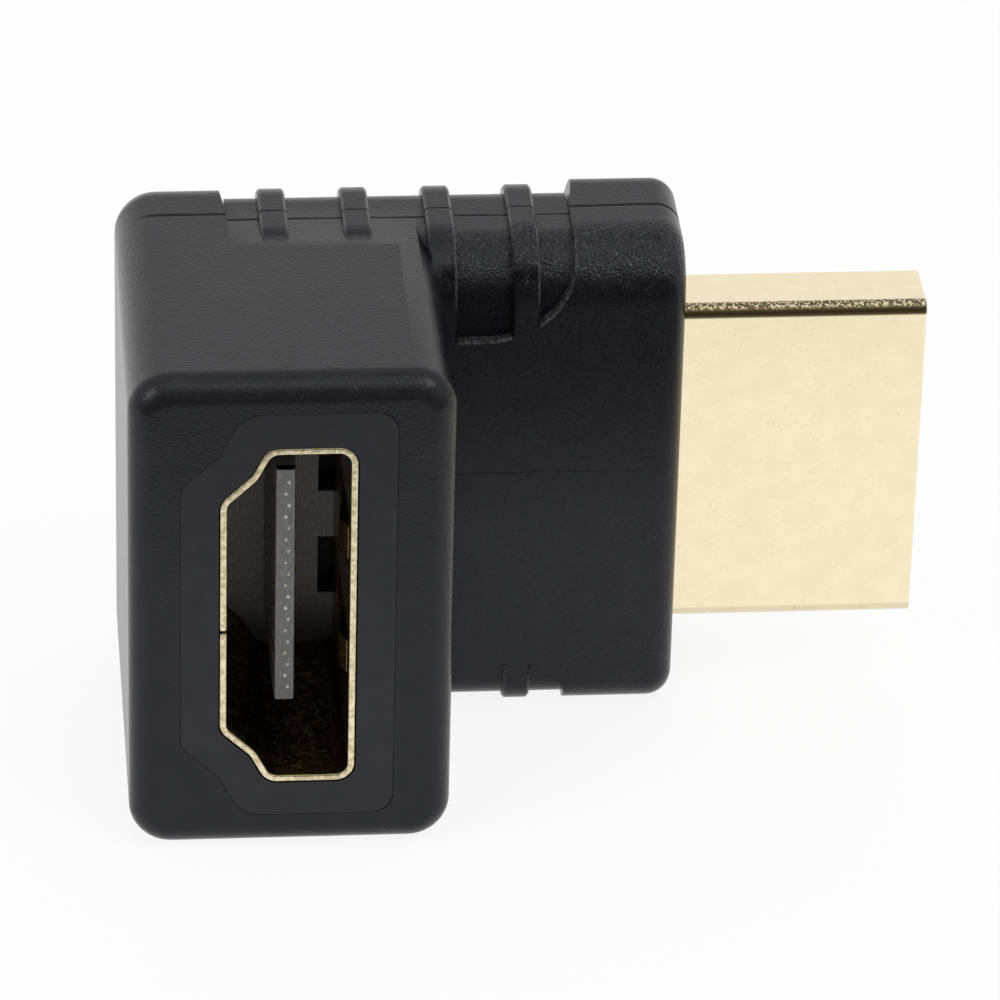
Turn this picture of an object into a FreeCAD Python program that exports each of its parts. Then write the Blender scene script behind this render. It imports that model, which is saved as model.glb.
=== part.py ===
import FreeCAD, Part
import os
from math import sin, tan
from FreeCAD import Vector

# Right angle video adapter: a 19-way socket faces -Y and a 19-way plug points along +X.
# Millimetres. While it is drawn, X = 0 and Y = 0 are the middle planes of the socket and
# the plug, and Z = 0 is mid height. place() then stands the part on its lower narrow side.

# Moulded body, an L seen from above
body_height = 20.5
heel_x = -5.94
socket_arm_width = 12.18
plug_arm_end_x = 15.68
plug_arm_thickness = 7.0

# Tops of the heel with the socket's arm, and of the plug's end, are this far below the ribs
heel_drop = 0.12
plug_end_drop = 0.06

# Rounding of the body's edges
arm_front_radius = 2.5
arm_bottom_radius = 1.35
heel_back_radius = 1.9
heel_bottom_radius = 1.7
heel_end_radius = 1.6
plug_end_back_radius = 1.5
plug_end_radius = 1.0
socket_arm_corner_radius = 1.6
socket_arm_front_radius = 1.0

# Grip fields sunk into the two narrow sides, with ribs across them
field_left_x = -1.73
field_right_x = 11.38
field_back_corner_radius = 1.2
flare_fall = 0.53
flare_slope = 0.2
top_field_depth = 0.37
top_floor_front_radius = 2.2
top_floor_back_radius = 1.7
top_field_reach_z = 6.4
top_field_corner_radius = 3.4
bottom_field_depth = 0.22
bottom_floor_radius = 1.2
bottom_field_reach_z = -8.1
bottom_field_corner_radius = 1.6
rib_count = 4
rib_first_x = 0.035
rib_pitch = 3.16
rib_width = 1.05
rib_edge_bevel = 0.1
rib_back_radius = 2.1
ramp_length = 2.4

# Connector standard: opening of the socket, and the plug that enters it
opening_width = 14.0
opening_height = 4.55
opening_shoulder_height = 2.9
opening_waist_height = 3.45
opening_waist_width = 11.85
opening_crown_width = 9.74
opening_corner_radius = 0.45
opening_waist_radius = 0.9
mating_clearance = 0.05
contact_count = 19
contact_pitch = 0.5
contact_width = 0.3
sheet = 0.3
sheet_seam_gap = 0.06
plug_reach = 9.39

# Socket insides
tongue_end_margin = 0.54
tongue_thickness = 0.79
tongue_recess = 2.32
tongue_lead_in = 0.18
tongue_lead_in_length = 0.35
tongue_root = 0.5
socket_end_clearance = 0.11
socket_seam_z = -0.6
housing_floor_gap = 0.6
housing_wall = 2.27
notch_depth = 0.6
notch_length = 1.5
notch_width = 2.55
notch_centres_z = (1.08, -3.5)
finger_width = 1.45
finger_window_margin = 0.22
finger_centres_z = (2.5, -2.5)
finger_thickness = 0.22
finger_root_depth = 6.2
finger_root_length = 0.5
finger_crest_depth = 1.8
finger_crest_height = 0.32
finger_crest_radius = 0.5
finger_tip_depth = 1.15
finger_window_depth = 0.95
socket_contact_thickness = 0.14
socket_contact_proud = 0.02
socket_contact_foot = 1.1

# Plug insides
slot_side_clearance = 0.26
slot_end_clearance = 0.33
slot_height = 1.9
plug_front_recess = 0.25
plug_contact_thickness = 0.15
plug_contact_gap = 0.84
plug_beam_root_depth = 6.2
plug_bead_depth = 1.75
plug_bead_radius = 0.3
plug_tip_depth = 0.75
plug_foot_length = 2.0
plug_foot_bend_gap = 0.15
plug_shell_board_gap = 0.2
plug_housing_board_gap = 1.0

# Walls of the overmould around the inner mould
overmould_top_wall = 1.35
overmould_side_wall = 0.8
overmould_heel_wall = 0.94
overmould_plug_wall = 1.48

# Inner mould around both connectors, and the pocket for the board in it
mould_edge_bevel = 0.6
mould_wall = 0.8
mould_front_wall = 1.46
mould_front_radii = (0.8, 1.2, 0.4, 0.5)
mould_plug_grip = 2.0
front_seam_gap = 0.05
front_seam_depth = 0.4
pocket_clearance = 0.8

# Circuit board, on the plug's middle plane
board_thickness = 0.8
board_clearance = 0.2
board_corner_radius = 0.4

# Cutting shapes reach this far past what they cut, and edges are found this closely
cut_margin = 1.0
tolerance = 1e-6

# Worked out from the values above
half_height = body_height / 2
half_arm = plug_arm_thickness / 2
socket_arm_right_x = heel_x + socket_arm_width
plug_tip_x = plug_arm_end_x + plug_reach
mould_left_x = heel_x + overmould_heel_wall
mould_right_x = plug_arm_end_x - overmould_plug_wall
mould_height = body_height - 2 * overmould_top_wall
mould_thickness = plug_arm_thickness - 2 * overmould_side_wall
pocket_left_x = mould_left_x + mould_wall
pocket_right_x = mould_right_x - mould_plug_grip
pocket_height = mould_height - 2 * mould_wall
pocket_thickness = board_thickness + 2 * pocket_clearance
board_left_x = pocket_left_x + board_clearance
board_right_x = pocket_right_x - plug_shell_board_gap
board_height = pocket_height - 2 * board_clearance
half_board = board_thickness / 2
half_opening = opening_height / 2
socket_depth = plug_reach + socket_end_clearance
housing_rear_y = -half_board - housing_floor_gap
socket_rear_y = housing_rear_y - housing_wall
socket_face_y = socket_rear_y - socket_depth
contact_row = (contact_count - 1) * contact_pitch
tongue_width = contact_row + 2 * tongue_end_margin
half_tongue = tongue_thickness / 2
slot_width = tongue_width + 2 * slot_side_clearance
slot_depth = plug_reach - tongue_recess + slot_end_clearance
plug_housing_rear_x = board_right_x + plug_housing_board_gap


def place(shape):
    """Moves a finished shape so that the origin is under the middle of the part."""
    middle_x = (heel_x + plug_tip_x) / 2
    middle_y = (socket_face_y + half_arm) / 2
    moved = shape.copy()
    moved.translate(Vector(-middle_x, -middle_y, half_height))
    return moved


def save(shape, node):
    """Writes one sub-part, after checking that it is sound."""
    solid = shape.removeSplitter()
    if len(solid.Solids) == 1:
        solid = solid.Solids[0]
    print(f"{node}: {len(solid.Solids)} solid, {solid.Volume:.3f} mm3, valid {solid.isValid()}")
    place(solid).exportStep(f"parts/{node}.step")


# Outlines are lists of (u, v, radius) corners in counterclockwise order

def directions(corners, i):
    """Unit directions of the sides that arrive at corner i and leave it."""
    here = Vector(corners[i][0], corners[i][1], 0)
    before = Vector(corners[i - 1][0], corners[i - 1][1], 0)
    ahead = corners[(i + 1) % len(corners)]
    arriving = (here - before).normalize()
    leaving = (Vector(ahead[0], ahead[1], 0) - here).normalize()
    return here, arriving, leaving


def grown(corners, distance):
    """Moves every side of an outline outwards, and keeps its arcs concentric."""
    result = []
    for i, (u, v, radius) in enumerate(corners):
        here, arriving, leaving = directions(corners, i)
        out_a = Vector(arriving.y, -arriving.x, 0)
        out_b = Vector(leaving.y, -leaving.x, 0)
        shift = (out_a + out_b) * (distance / (1 + out_a.dot(out_b)))
        turn = arriving.cross(leaving).z
        new_radius = radius + distance if turn > 0 else radius - distance
        result.append((here.x + shift.x, here.y + shift.y, max(new_radius, 0) if radius else 0))
    return result


def rounded_wire(corners, on_plane):
    """Closed wire along an outline, with an arc in each corner that has a radius."""
    points = []
    for i, (u, v, radius) in enumerate(corners):
        here, arriving, leaving = directions(corners, i)
        if radius == 0:
            points.append((here, here, here))
            continue
        half_angle = (arriving * -1).getAngle(leaving) / 2
        reach = radius / tan(half_angle)
        start = here - arriving * reach
        end = here + leaving * reach
        inward = (leaving - arriving).normalize()
        middle = here + inward * (radius / sin(half_angle) - radius)
        points.append((start, middle, end))
    edges = []
    for i, (start, middle, end) in enumerate(points):
        previous_end = points[i - 1][2]
        if (start - previous_end).Length > tolerance:
            edges.append(Part.LineSegment(on_plane(previous_end), on_plane(start)).toShape())
        if (end - start).Length > tolerance:
            edges.append(Part.Arc(on_plane(start), on_plane(middle), on_plane(end)).toShape())
    return Part.Wire(Part.__sortEdges__(edges))


def prism_y(corners, y_from, y_to):
    """Outline drawn in X and Z, carried along Y."""
    wire = rounded_wire(corners, lambda p: Vector(p.x, y_from, p.y))
    return Part.Face(wire).extrude(Vector(0, y_to - y_from, 0))


def prism_x(corners, x_from, x_to):
    """Outline drawn in Y and Z, carried along X."""
    wire = rounded_wire(corners, lambda p: Vector(x_from, p.x, p.y))
    return Part.Face(wire).extrude(Vector(x_to - x_from, 0, 0))


def prism_z(corners, z_from, z_to):
    """Outline drawn in X and Y, carried along Z."""
    wire = rounded_wire(corners, lambda p: Vector(p.x, p.y, z_from))
    return Part.Face(wire).extrude(Vector(0, 0, z_to - z_from))


def block(x_from, x_to, y_from, y_to, z_from, z_to):
    """Plain box between two corners."""
    corner = Vector(x_from, y_from, z_from)
    return Part.makeBox(x_to - x_from, y_to - y_from, z_to - z_from, corner)


def bent_strip(path, thickness):
    """Outline of a strip of sheet along path. A point (u, v, r) is a bend of inside radius r."""
    left = []
    right = []
    last = len(path) - 1
    for i, (u, v, radius) in enumerate(path):
        here = Vector(u, v, 0)
        before = Vector(path[i - 1][0], path[i - 1][1], 0) if i > 0 else None
        after = Vector(path[i + 1][0], path[i + 1][1], 0) if i < last else None
        arriving = (here - before if before else after - here).normalize()
        leaving = (after - here if after else here - before).normalize()
        side_a = Vector(-arriving.y, arriving.x, 0)
        side_b = Vector(-leaving.y, leaving.x, 0)
        shift = (side_a + side_b) * (thickness / 2 / (1 + side_a.dot(side_b)))
        turn = arriving.cross(leaving).z
        outer = radius + thickness if radius else 0
        left.append((here.x + shift.x, here.y + shift.y, radius if turn > 0 else outer))
        right.append((here.x - shift.x, here.y - shift.y, outer if turn > 0 else radius))
    return right + left[::-1]


# Connector outlines, u measured from the wide side and v along the contacts

def opening_outline():
    """Inside of the socket: wide side at u = 0, S-shaped corners, narrow side above."""
    half = []
    half.append((0, opening_width / 2, opening_corner_radius))
    half.append((opening_shoulder_height, opening_width / 2, opening_corner_radius))
    half.append((opening_waist_height, opening_waist_width / 2, opening_waist_radius))
    half.append((opening_height, opening_crown_width / 2, opening_corner_radius))
    mirrored = [(u, -v, radius) for u, v, radius in half]
    return mirrored + half[::-1]


def socket_outline(growth):
    """Socket outline in X and Z, its wide side towards +X."""
    corners = [(half_opening - u, v, r) for u, v, r in opening_outline()]
    return grown(corners[::-1], growth)


def plug_outline(growth):
    """Plug outline in Y and Z, its wide side towards -Y."""
    corners = [(u - half_opening, v, r) for u, v, r in opening_outline()]
    return grown(corners, growth - mating_clearance)


def contact_height(number):
    """Height of contact 1 to 19, counted from the top."""
    return ((contact_count + 1) / 2 - number) * contact_pitch


# Body

def arm_section(inset, drop, front_radius, back_radius, bottom_radius):
    """Section of the plug's arm, in Y and Z. Its top is lower by drop."""
    y = half_arm - inset
    z = half_height - inset
    corners = []
    corners.append((-y, -z, bottom_radius))
    corners.append((y, -z, bottom_radius))
    corners.append((y, z - drop, back_radius))
    corners.append((-y, z - drop, front_radius))
    return corners


def end_loop(solid, x):
    """Edges of a solid that lie in the plane X = x."""
    found = []
    for edge in solid.Edges:
        box = edge.BoundBox
        if abs(box.XMin - x) < tolerance and abs(box.XMax - x) < tolerance:
            found.append(edge)
    return found


def arm_end(end_x, drop, back_radius, bottom_radius, end_radius):
    """The plug's arm between the middle of its grip fields and one end, which is rounded."""
    middle_x = (field_left_x + field_right_x) / 2
    section = arm_section(0, drop, arm_front_radius, back_radius, bottom_radius)
    half = prism_x(section, min(middle_x, end_x), max(middle_x, end_x))
    return half.makeFillet(end_radius, end_loop(half, end_x))


def arm_block():
    """The plug's arm before its grip fields are sunk. Its two halves meet inside them."""
    heel = arm_end(heel_x, heel_drop, heel_back_radius, heel_bottom_radius, heel_end_radius)
    plug_end = arm_end(plug_arm_end_x, plug_end_drop, plug_end_back_radius, arm_bottom_radius,
                       plug_end_radius)
    return heel.fuse(plug_end)


def field_outline(reach_z, radius):
    """Front view of a grip field: open at the narrow side, and round at its far edge."""
    side = 1 if reach_z > 0 else -1
    beyond_z = side * (half_height + cut_margin)
    corners = []
    corners.append((field_left_x, reach_z, radius))
    corners.append((field_right_x, reach_z, radius))
    corners.append((field_right_x, beyond_z, 0))
    corners.append((field_left_x, beyond_z, 0))
    return corners[::side]


def field_region(reach_z, radius):
    """Space of a grip field on both sides of the arm."""
    front = prism_y(field_outline(reach_z, radius), -plug_arm_thickness, 0)
    back = prism_y(field_outline(reach_z, field_back_corner_radius), 0, plug_arm_thickness)
    return front.fuse(back)


def flare(edge_x, outward):
    """Wedge off the end wall of the upper field. It sinks, and so widens, towards the back."""
    low_z = half_height + flare_fall * cut_margin
    high_z = low_z + plug_arm_thickness
    corners = []
    corners.append((edge_x, low_z, 0))
    corners.append((edge_x, high_z, 0))
    corners.append((edge_x + outward * flare_slope * plug_arm_thickness, high_z, 0))
    wire = rounded_wire(corners, lambda p: Vector(p.x, -cut_margin, p.y))
    return Part.Face(wire).extrude(Vector(0, plug_arm_thickness, -flare_fall * plug_arm_thickness))


def ribs():
    """Ribs across the grip fields."""
    shapes = []
    section = arm_section(0, 0, arm_front_radius, rib_back_radius, arm_bottom_radius)
    for i in range(rib_count):
        x = rib_first_x + i * rib_pitch
        rib = prism_x(section, x - rib_width / 2, x + rib_width / 2)
        edges = end_loop(rib, x - rib_width / 2) + end_loop(rib, x + rib_width / 2)
        shapes.append(rib.makeChamfer(rib_edge_bevel, edges))
    return shapes


def socket_arm():
    """Socket's arm before the ramps at its root."""
    top_z = half_height - heel_drop
    arm = block(heel_x, socket_arm_right_x, socket_face_y, 0, -half_height, top_z)
    long_edges = [e for e in arm.Edges if e.BoundBox.YLength > tolerance]
    arm = arm.makeFillet(socket_arm_corner_radius, long_edges)
    front = [e for e in arm.Edges if e.BoundBox.YMax < socket_face_y + tolerance]
    return arm.makeFillet(socket_arm_front_radius, front)


def ramp_cut(depth, drop, side):
    """Space above the ramp from the socket arm's skin down to a field's floor."""
    beyond = side * (half_height + cut_margin)
    corners = []
    corners.append((-ramp_length, side * (half_height - drop), 0))
    corners.append((0, side * (half_height - depth), 0))
    corners.append((0, beyond, 0))
    corners.append((-ramp_length, beyond, 0))
    return prism_x(corners[::side], field_left_x, field_right_x)


def body_skin():
    """Outside form of the moulded body, as one solid."""
    body = arm_block()
    body = body.cut(flare(field_left_x, -1)).cut(flare(field_right_x, 1))
    arm = socket_arm()
    top = (top_field_reach_z, top_field_corner_radius, top_field_depth, heel_drop, 1)
    bottom = (bottom_field_reach_z, bottom_field_corner_radius, bottom_field_depth, 0, -1)
    for reach_z, corner_radius, depth, drop, side in (top, bottom):
        region = field_region(reach_z, corner_radius)
        section = arm_section(depth, 0, top_floor_front_radius, top_floor_back_radius,
                              bottom_floor_radius)
        floor = prism_x(section, field_left_x, field_right_x)
        body = body.cut(region)
        for shape in [floor] + ribs():
            body = body.fuse(shape.common(region))
        arm = arm.cut(ramp_cut(depth, drop, side).common(region))
    return body.fuse(arm).removeSplitter()


def mould_front_outline(growth):
    """Front of the inner mould: the socket's outline with a wall around it."""
    corners = socket_outline(sheet + mould_front_wall + growth)
    radii = mould_front_radii + mould_front_radii[::-1]
    return [(u, v, radius) for (u, v, old_radius), radius in zip(corners, radii)]


def inner_mould_block():
    """Inner mould as one lump: a slab around the board, and a neck around the socket."""
    y = mould_thickness / 2
    z = mould_height / 2
    slab = block(mould_left_x, mould_right_x, -y, y, -z, z)
    slab = slab.makeChamfer(mould_edge_bevel, slab.Edges)
    neck = prism_y(mould_front_outline(0), socket_face_y, 0)
    return slab.fuse(neck)


def overmould():
    """Soft outer moulding: the body's skin around the inner mould and the plug."""
    body = body_skin()
    body = body.cut(inner_mould_block())
    hole_end_x = plug_arm_end_x + cut_margin
    plug_hole = prism_x(plug_outline(0), mould_right_x - cut_margin, hole_end_x)
    return body.cut(plug_hole)


def inner_mould():
    """Inner mould with its board pocket and the seats of both connectors."""
    lump = inner_mould_block()
    before_face = socket_face_y - cut_margin
    seam_end = socket_face_y + front_seam_depth
    trim = prism_y(mould_front_outline(cut_margin), before_face, seam_end)
    trim = trim.cut(prism_y(mould_front_outline(-front_seam_gap), before_face, seam_end))
    lump = lump.cut(trim)
    lump = lump.cut(prism_y(socket_outline(sheet), before_face, 0))
    lump = lump.cut(prism_y(socket_outline(sheet + front_seam_gap), before_face, seam_end))
    lump = lump.cut(prism_x(plug_outline(0), pocket_right_x, mould_right_x + cut_margin))
    y = pocket_thickness / 2
    z = pocket_height / 2
    return lump.cut(block(pocket_left_x, pocket_right_x, -y, y, -z, z))


# Socket

def spring_finger(centre_z):
    """Spring cut from the wide wall: it leans inwards to a rounded crest, then turns out."""
    outer = half_opening + sheet - finger_thickness / 2
    crest = half_opening - finger_crest_height + finger_thickness / 2
    tip = half_opening + finger_thickness / 2
    path = []
    path.append((outer, socket_face_y + finger_root_depth + finger_root_length, 0))
    path.append((outer, socket_face_y + finger_root_depth - finger_root_length, 0))
    path.append((crest, socket_face_y + finger_crest_depth, finger_crest_radius))
    path.append((tip, socket_face_y + finger_tip_depth, 0))
    outline = bent_strip(path, finger_thickness)
    return prism_z(outline, centre_z - finger_width / 2, centre_z + finger_width / 2)


def socket_shell():
    """Folded sheet around the socket, with two springs and the seam of its fold."""
    end_y = -half_board
    outside = prism_y(socket_outline(sheet), socket_face_y, end_y)
    before_face = socket_face_y - cut_margin
    shell = outside.cut(prism_y(socket_outline(0), before_face, end_y + cut_margin))
    window_y = socket_face_y + finger_window_depth
    root_y = socket_face_y + finger_root_depth
    half_window = finger_width / 2 + finger_window_margin
    for centre_z in finger_centres_z:
        window = block(0, half_opening + 2 * sheet, window_y, root_y,
                       centre_z - half_window, centre_z + half_window)
        shell = shell.cut(window).fuse(spring_finger(centre_z))
    seam_low = socket_seam_z - sheet_seam_gap / 2
    seam_high = socket_seam_z + sheet_seam_gap / 2
    seam = block(-half_opening - 2 * sheet, 0, before_face, end_y + cut_margin, seam_low, seam_high)
    return shell.cut(seam)


def socket_contact(number):
    """Strip along the tongue with a foot on the board. Odd ones lie on the wide side."""
    side = 1 if number % 2 else -1
    half = socket_contact_thickness / 2
    x = side * (half_tongue + socket_contact_proud - half)
    foot_y = -half_board - half
    path = []
    path.append((x, socket_face_y + tongue_recess + tongue_lead_in_length, 0))
    path.append((x, foot_y, 0))
    path.append((x + side * socket_contact_foot, foot_y, 0))
    z = contact_height(number)
    outline = bent_strip(path, socket_contact_thickness)
    return prism_z(outline, z - contact_width / 2, z + contact_width / 2)


def contact_tip(number):
    """Nose of a socket contact, which shows in the tongue's front edge."""
    side = 1 if number % 2 else -1
    z = contact_height(number)
    front = socket_face_y + tongue_recess
    rear = front + tongue_lead_in_length
    half = socket_contact_thickness / 2
    shoulder = half_tongue + socket_contact_proud
    corners = []
    corners.append((side * (shoulder - socket_contact_thickness), rear, 0))
    corners.append((side * shoulder, rear, 0))
    corners.append((side * (tongue_lead_in / 2 + half), front, 0))
    corners.append((side * (tongue_lead_in / 2 - half), front, 0))
    if side < 0:
        corners.reverse()
    return prism_z(corners, z - contact_width / 2, z + contact_width / 2)


def tongue():
    """Flat tongue with a lead-in along its front edge."""
    front = socket_face_y + tongue_recess
    rear = socket_rear_y + tongue_root
    corners = []
    corners.append((-half_tongue, rear, 0))
    corners.append((-half_tongue, front + tongue_lead_in_length, 0))
    corners.append((-half_tongue + tongue_lead_in, front, 0))
    corners.append((half_tongue - tongue_lead_in, front, 0))
    corners.append((half_tongue, front + tongue_lead_in_length, 0))
    corners.append((half_tongue, rear, 0))
    return prism_z(corners[::-1], -tongue_width / 2, tongue_width / 2)


def socket_housing(contacts):
    """Insulator at the back of the socket, its tongue, and the notches along its wide edge."""
    rear = prism_y(socket_outline(0), socket_rear_y, housing_rear_y)
    for centre_z in notch_centres_z:
        notch = block(half_opening - notch_depth, half_opening + cut_margin,
                      socket_rear_y - cut_margin, socket_rear_y + notch_length,
                      centre_z - notch_width / 2, centre_z + notch_width / 2)
        rear = rear.cut(notch)
    housing = rear.fuse(tongue()).removeSplitter()
    return housing.cut(contacts)


# Plug

def plug_shell():
    """Folded sheet around the plug."""
    outside = prism_x(plug_outline(0), pocket_right_x, plug_tip_x)
    before_x = pocket_right_x - cut_margin
    beyond_x = plug_tip_x + cut_margin
    shell = outside.cut(prism_x(plug_outline(-sheet), before_x, beyond_x))
    half_gap = sheet_seam_gap / 2
    return shell.cut(block(before_x, beyond_x, 0, half_opening, -half_gap, half_gap))


def plug_contact(number):
    """Spring contact: foot on the board, straight run through the housing, beam to a bead."""
    side = -1 if number % 2 else 1
    half = plug_contact_thickness / 2
    foot_y = half_board + half
    root_y = slot_height / 2 - half
    bead_y = plug_contact_gap / 2 + half
    path = []
    path.append((board_right_x - plug_foot_length, side * foot_y, 0))
    path.append((board_right_x + plug_foot_bend_gap, side * foot_y, 0))
    path.append((plug_housing_rear_x - plug_foot_bend_gap, side * root_y, 0))
    path.append((plug_tip_x - plug_beam_root_depth, side * root_y, 0))
    path.append((plug_tip_x - plug_bead_depth, side * bead_y, plug_bead_radius))
    path.append((plug_tip_x - plug_tip_depth, side * root_y, 0))
    outline = bent_strip(path, plug_contact_thickness)
    z = contact_height(number)
    return prism_z(outline, z - contact_width / 2, z + contact_width / 2)


def plug_housing(contacts):
    """Insulator inside the plug, with the slot that a socket's tongue enters."""
    body = prism_x(plug_outline(-sheet), plug_housing_rear_x, plug_tip_x - plug_front_recess)
    slot = block(plug_tip_x - slot_depth, plug_tip_x, -slot_height / 2,
                 slot_height / 2, -slot_width / 2, slot_width / 2)
    return body.cut(slot).cut(contacts)


def circuit_board():
    """Board between the feet of both rows of contacts."""
    z = board_height / 2
    corners = []
    corners.append((board_left_x, -z, board_corner_radius))
    corners.append((board_right_x, -z, board_corner_radius))
    corners.append((board_right_x, z, board_corner_radius))
    corners.append((board_left_x, z, board_corner_radius))
    return prism_y(corners, -half_board, half_board)


def main():
    os.makedirs("parts", exist_ok=True)
    numbers = range(1, contact_count + 1)
    socket_contacts = [socket_contact(n).fuse(contact_tip(n)).removeSplitter() for n in numbers]
    plug_contacts = [plug_contact(n) for n in numbers]
    save(overmould(), "overmould")
    save(inner_mould(), "inner_mould")
    save(socket_shell(), "socket_shell")
    save(socket_housing(socket_contacts), "socket_housing")
    save(plug_shell(), "plug_shell")
    save(plug_housing(plug_contacts), "plug_housing")
    save(circuit_board(), "circuit_board")
    for number in numbers:
        save(socket_contacts[number - 1], f"socket_contact_{number:02d}")
        save(plug_contacts[number - 1], f"plug_contact_{number:02d}")


main()
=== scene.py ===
# %% [markdown]
# # Right angle video adapter
#
# The real adapter is a black moulding the size of a thumb's end. It has a gold-rimmed
# socket in one arm and a gold plug on the other. The construction is already there, as a
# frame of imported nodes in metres. This lesson gives those nodes their finish: soft edges,
# moulded grain, plating, and the small noses of the contacts.

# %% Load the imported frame
from math import pi, radians

import bmesh
import bpy
from mathutils import Matrix, Vector


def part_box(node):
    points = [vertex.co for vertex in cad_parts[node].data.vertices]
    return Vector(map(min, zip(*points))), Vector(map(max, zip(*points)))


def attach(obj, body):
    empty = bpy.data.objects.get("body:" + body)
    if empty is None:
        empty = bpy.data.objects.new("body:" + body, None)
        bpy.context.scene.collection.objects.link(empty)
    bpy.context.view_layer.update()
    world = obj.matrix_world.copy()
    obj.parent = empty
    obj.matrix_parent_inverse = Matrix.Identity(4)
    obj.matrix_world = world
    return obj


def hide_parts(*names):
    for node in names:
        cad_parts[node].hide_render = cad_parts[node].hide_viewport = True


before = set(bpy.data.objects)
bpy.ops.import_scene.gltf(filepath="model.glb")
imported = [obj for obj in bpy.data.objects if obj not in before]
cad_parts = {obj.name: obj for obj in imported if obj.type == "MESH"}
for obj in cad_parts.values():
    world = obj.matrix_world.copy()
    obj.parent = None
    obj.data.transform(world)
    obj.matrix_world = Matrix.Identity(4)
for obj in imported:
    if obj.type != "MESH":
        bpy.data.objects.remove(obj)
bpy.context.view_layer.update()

mm = 0.001
scene = bpy.context.scene
print("nodes in the frame:", len(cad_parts))

# %% [markdown]
# ## Camera
#
# The photograph was taken with a long lens from well above the socket. Such a view could be
# framed by eye, but both connectors have standard sizes, so the camera can be worked out
# from their corners. The place, the point looked at and the small roll come from that fit.

# %% Camera
camera_place = Vector((-22.633, -227.772, 146.616)) * mm
camera_aim = Vector((-0.922, 0.725, 9.867)) * mm
camera_roll = radians(1.537)
lens_length = 250
sensor_width = 36

lens = bpy.data.cameras.new("photo_camera")
lens.lens = lens_length
lens.sensor_width = sensor_width
lens.clip_start = 10 * mm
camera = bpy.data.objects.new("photo_camera", lens)
scene.collection.objects.link(camera)
gaze = (camera_aim - camera_place).to_track_quat("-Z", "Y").to_matrix().to_4x4()
camera.matrix_world = Matrix.Translation(camera_place) @ gaze @ Matrix.Rotation(camera_roll, 4, "Z")
scene.camera = camera
scene.view_settings.view_transform = "Standard"
print("camera distance, mm:", round((camera_aim - camera_place).length / mm, 1))

# %% [markdown]
# ## Shader helpers
#
# A finish is a tree of nodes. Wiring each Math node by hand hides the idea behind the
# plumbing, so two small classes do it. A Signal is a socket that can be added, multiplied
# or compared in a plain expression. A Finish makes every other node with one method.

# %% Signals
class Signal:
    """A socket's value. Arithmetic on it adds Math nodes to its tree."""

    def __init__(self, finish, socket):
        self.finish = finish
        self.socket = socket

    def math(self, operation, *inputs):
        sockets = dict(enumerate(inputs))
        return self.finish.add("ShaderNodeMath", {"operation": operation}, sockets)

    def root(self):
        return self.math("SQRT", self)

    def sine(self):
        return self.math("SINE", self)

    def whole(self):
        """The nearest whole number."""
        return self.math("ROUND", self)

    def __add__(self, other):
        return self.math("ADD", self, other)

    def __radd__(self, other):
        return self.math("ADD", other, self)

    def __sub__(self, other):
        return self.math("SUBTRACT", self, other)

    def __rsub__(self, other):
        return self.math("SUBTRACT", other, self)

    def __mul__(self, other):
        return self.math("MULTIPLY", self, other)

    def __rmul__(self, other):
        return self.math("MULTIPLY", other, self)

    def __truediv__(self, other):
        return self.math("DIVIDE", self, other)

    def distance_to(self, other):
        return self.math("ABSOLUTE", self - other)

    def ramp(self, start, end):
        """0 up to start, 1 from end on, and a smooth rise between them."""
        settings = {"interpolation_type": "SMOOTHSTEP"}
        inputs = {"Value": self, "From Min": start, "From Max": end}
        return self.finish.add("ShaderNodeMapRange", settings, inputs, "Result")

    def either(self, other):
        """The larger of the two, which joins two masks."""
        return self.math("MAXIMUM", self, other)


# %% Finishes
class Finish:
    """A node tree that is built by expressions and one method."""

    def __init__(self, tree):
        self.tree = tree
        self.tree.nodes.clear()

    def add(self, kind, settings=None, inputs=None, output=0):
        """Adds a node: its settings first, then the values or links of its sockets."""
        node = self.tree.nodes.new(kind)
        for name, value in (settings or {}).items():
            setattr(node, name, value)
        for name, value in (inputs or {}).items():
            if isinstance(value, Signal):
                self.tree.links.new(value.socket, node.inputs[name])
            else:
                node.inputs[name].default_value = value
        return Signal(self, node.outputs[output]) if len(node.outputs) else node

    def place(self):
        """Where the point is on the object, in the object's own metres."""
        return self.add("ShaderNodeTexCoord", output="Object")

    def axis(self, name):
        """One coordinate of the point."""
        return self.add("ShaderNodeSeparateXYZ", inputs={"Vector": self.place()}, output=name)

    def noise(self, grain, stretch=(1, 1, 1)):
        """Cloudy pattern from 0 to 1 with blots of about that grain in metres."""
        where = self.add("ShaderNodeMapping", {}, {"Vector": self.place(), "Scale": stretch})
        inputs = {"Vector": where, "Scale": 1 / grain, "Detail": 2.0}
        return self.add("ShaderNodeTexNoise", {}, inputs, "Fac")

    def pebbles(self, grain):
        """Distance to the middle of the nearest pebble, in pebbles of that grain."""
        inputs = {"Vector": self.place(), "Scale": 1 / grain}
        return self.add("ShaderNodeTexVoronoi", {"feature": "F1"}, inputs, "Distance")

    def blend(self, factor, low, high, kind="MIX"):
        """Colour that goes from low to high as the factor goes from 0 to 1."""
        ends = [end if isinstance(end, Signal) else (*end, 1) for end in (low, high)]
        inputs = {"Factor": factor, 6: ends[0], 7: ends[1]}
        return self.add("ShaderNodeMix", {"data_type": "RGBA", "blend_type": kind}, inputs, 2)

    def tint(self, colour, by):
        """The colour times another one."""
        return self.blend(1.0, colour, by, "MULTIPLY")

    def bump(self, height, depth):
        """Normal of a surface that rises by depth, in metres, as height goes from 0 to 1."""
        inputs = {"Strength": 1.0, "Distance": depth, "Height": height}
        return self.add("ShaderNodeBump", {}, inputs, "Normal")


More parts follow.
